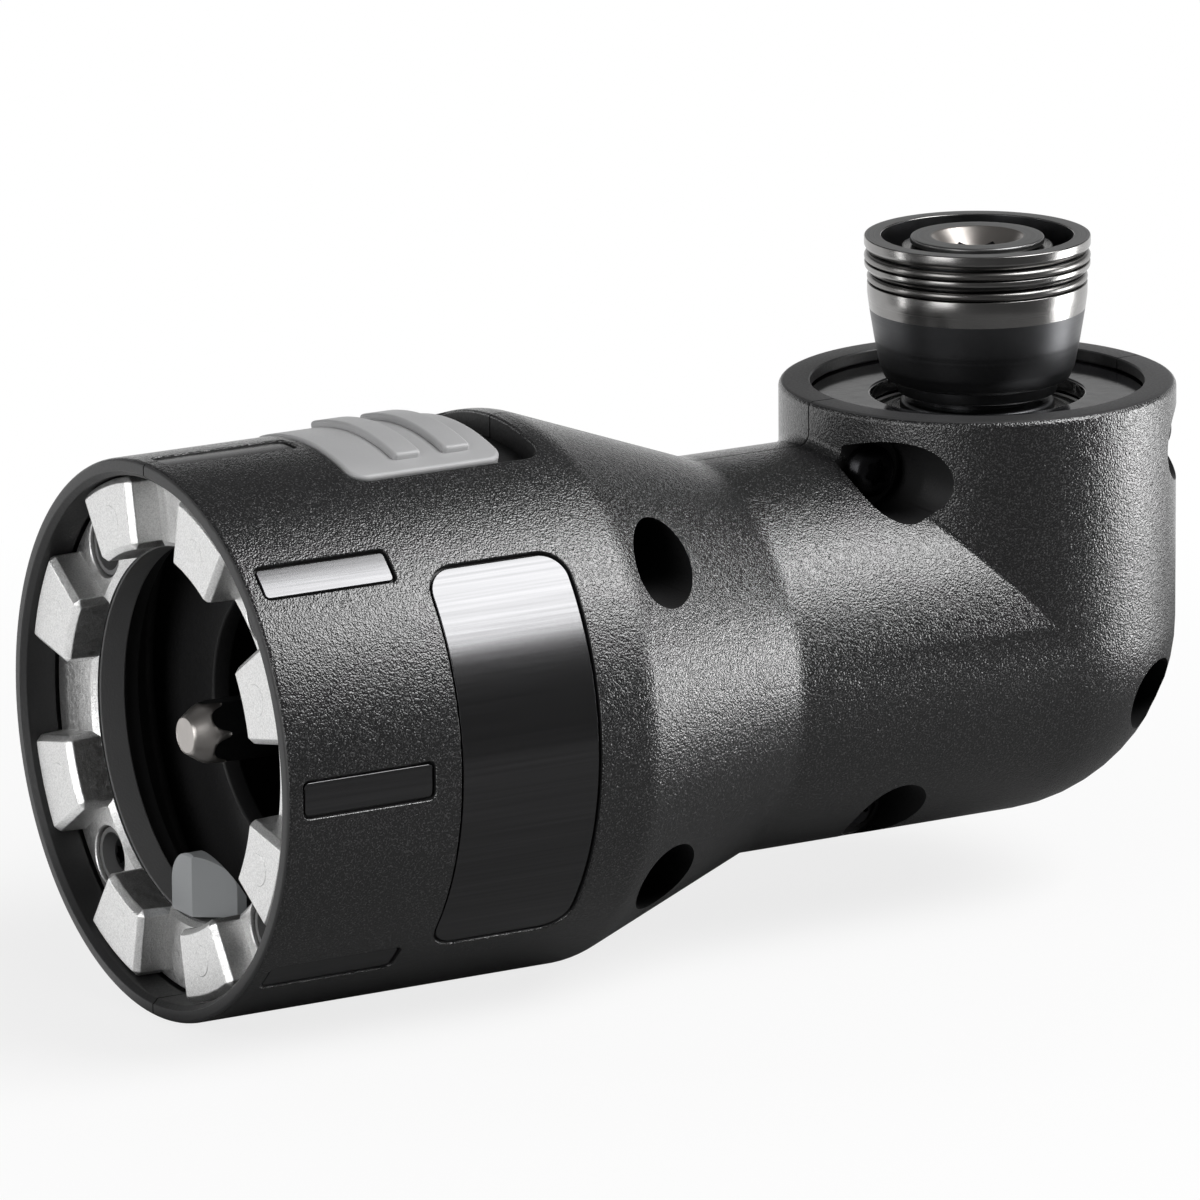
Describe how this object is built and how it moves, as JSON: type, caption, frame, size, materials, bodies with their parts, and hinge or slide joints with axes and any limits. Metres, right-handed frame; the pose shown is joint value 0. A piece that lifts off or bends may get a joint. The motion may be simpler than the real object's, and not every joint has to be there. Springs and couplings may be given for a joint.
{
  "type": "angle attachment",
  "caption": "Right angle attachment for a cordless driver: toothed mouth ring, bevel gear head, quick-change bit collar and a sliding release latch.",
  "frame": {"origin": "where the drive axis meets the plane of the sleeve's front rim", "axes": "-X out of the mouth towards the driver, +Z along the output axis towards the bit, +Y to the left side of the housing"},
  "size_m": [0.1251, 0.06, 0.0724],
  "materials": {
    "housing": "fine spark-eroded texture",
    "inner_plastic": "satin",
    "button": "satin",
    "hook": "satin",
    "ring": "grainy cast",
    "steel": "turned",
    "black_steel": "blackened and polished",
    "screw": "black oxide",
    "spring": "drawn wire",
    "cover": "glossy",
    "bronze": "sintered",
    "inlay": "brushed, dark"
  },
  "bodies": {
    "housing": {"housing_right": "housing", "housing_left": "housing", "shoulder_screw_upper": "screw", "shoulder_screw_lower": "screw", "neck_screw": "screw", "head_screw_front": "screw", "head_screw_rear": "screw", "elbow_screw": "screw", "toothed_ring": "ring", "guide_collar": "inner_plastic", "ring_screw_1": "screw", "ring_screw_2": "screw", "ring_screw_3": "screw", "ring_screw_4": "screw", "latch_spring": "spring", "name_plate": "inlay", "trim_strip_1": "inlay", "trim_strip_2": "inlay", "trim_strip_3": "inlay", "trim_strip_4": "inlay", "trim_strip_5": "inlay", "trim_strip_6": "inlay", "trim_strip_7": "inlay", "trim_strip_8": "inlay", "head_cover": "cover", "front_bush": "bronze", "rear_bearing_outer": "steel", "output_bearing_outer": "steel", "foot_bush": "bronze"},
    "release": {"lock_yoke": "hook", "release_button": "button"},
    "input": {"input_shaft": "steel", "bevel_pinion": "steel", "rear_bearing_inner": "steel"},
    "output": {"spindle": "steel", "bevel_gear": "steel", "output_bearing_inner": "steel", "retaining_ring": "black_steel", "collar_spring": "spring"},
    "collar": {"locking_collar": "black_steel", "grip_ring_upper": "inner_plastic", "grip_ring_lower": "inner_plastic"},
    "rear_cage": {"rear_bearing_cage": "bronze"},
    "output_cage": {"output_bearing_cage": "bronze"},
    "ball_1": {"lock_ball_1": "steel"},
    "ball_2": {"lock_ball_2": "steel"}
  },
  "joints": [
    {"name": "output_spin", "type": "hinge", "parent": "housing", "child": "output", "pos_m": [0.1035, 0, 0], "axis": [0, 0, 1], "continuous": true},
    {"name": "input_spin", "type": "hinge", "parent": "housing", "child": "input", "pos_m": [0, 0, 0], "axis": [1, 0, 0], "continuous": true},
    {"name": "rear_cage_spin", "type": "hinge", "parent": "housing", "child": "rear_cage", "pos_m": [0, 0, 0], "axis": [1, 0, 0], "continuous": true},
    {"name": "output_cage_spin", "type": "hinge", "parent": "housing", "child": "output_cage", "pos_m": [0.1035, 0, 0], "axis": [0, 0, 1], "continuous": true},
    {"name": "collar_slide", "type": "slide", "parent": "output", "child": "collar", "axis": [0, 0, 1], "range_m": [0, 0.0035], "stiffness_N_per_m": 700, "springref_m": -0.004, "deforming": ["collar_spring"]},
    {"name": "ball_1_slide", "type": "slide", "parent": "output", "child": "ball_1", "axis": [1, 0, 0], "range_m": [0, 0.0005]},
    {"name": "ball_2_slide", "type": "slide", "parent": "output", "child": "ball_2", "axis": [-1, 0, 0], "range_m": [0, 0.0005]},
    {"name": "release_slide", "type": "slide", "parent": "housing", "child": "release", "axis": [1, 0, 0], "range_m": [0, 0.0042], "stiffness_N_per_m": 500, "springref_m": -0.004, "deforming": ["latch_spring"]}
  ],
  "couplings": [
    {"joint": "input_spin", "follows": "output_spin", "ratio": 1},
    {"joint": "rear_cage_spin", "follows": "output_spin", "ratio": 0.3833},
    {"joint": "output_cage_spin", "follows": "output_spin", "ratio": 0.4477},
    {"joint": "ball_1_slide", "follows": "collar_slide", "ratio": 0.14},
    {"joint": "ball_2_slide", "follows": "collar_slide", "ratio": 0.14}
  ]
}
